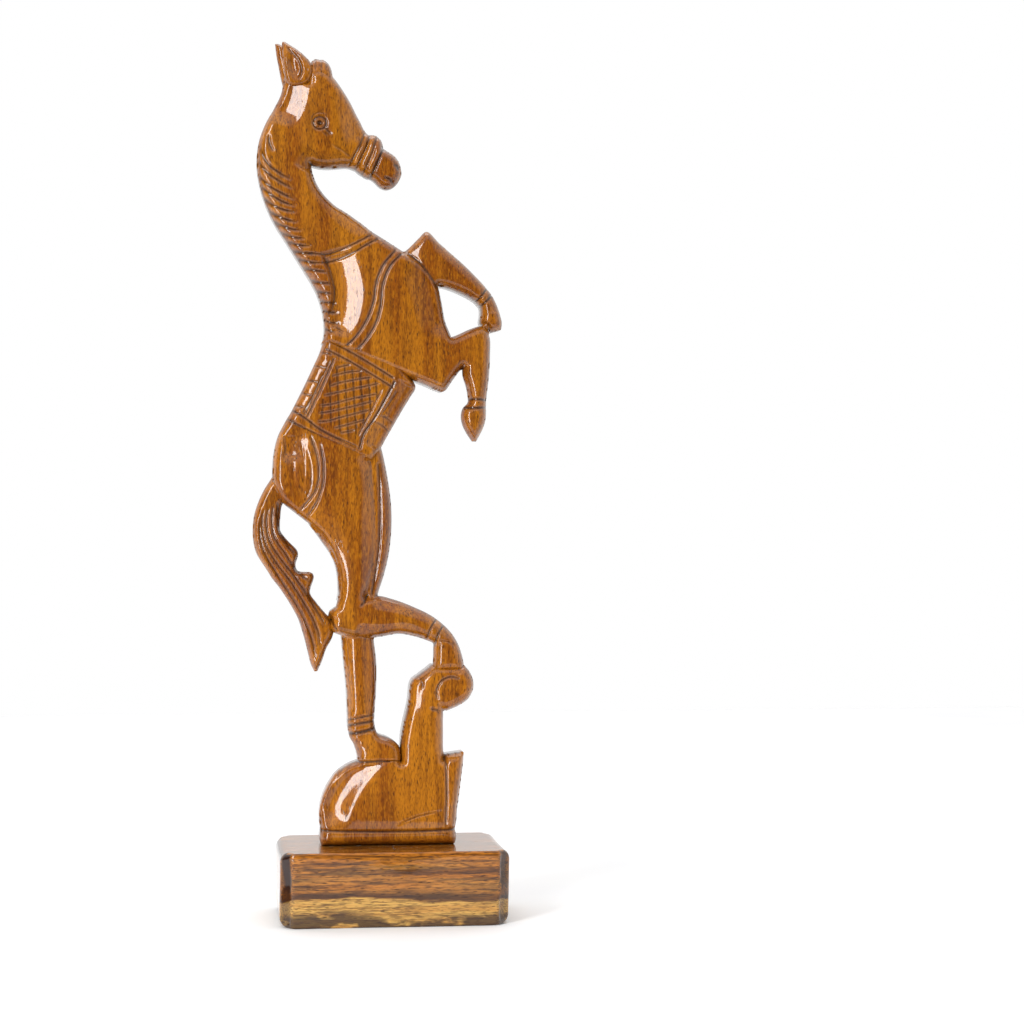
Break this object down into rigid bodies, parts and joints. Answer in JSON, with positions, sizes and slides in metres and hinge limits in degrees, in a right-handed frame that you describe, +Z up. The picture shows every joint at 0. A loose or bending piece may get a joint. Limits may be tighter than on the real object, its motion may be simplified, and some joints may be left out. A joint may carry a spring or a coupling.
{
  "type": "carved wooden figurine",
  "caption": "Flat-carved rearing horse in lacquered hardwood, standing on a tree stump that is screwed to a rectangular wooden block base.",
  "frame": {"origin": "middle of the base block's underside, on the surface that it stands on", "axes": "+Z up, +X from the tail towards the raised forelegs, -Y out of the carved show side"},
  "size_m": [0.0875, 0.052, 0.3045],
  "materials": {
    "carving_wood": "golden-brown tropical hardwood with upright grain and dark pores, stained a little darker in the knife cuts, clear gloss lacquer",
    "base_wood": "the same hardwood with its grain lying across: brown heartwood above, pale sapwood below, clear gloss lacquer",
    "screw_steel": "yellow-passivated zinc-plated steel"
  },
  "bodies": {
    "root": {"carved_horse": "carving_wood", "base_block": "base_wood", "wood_screw_left": "screw_steel", "wood_screw_right": "screw_steel"}
  },
  "joints": []
}
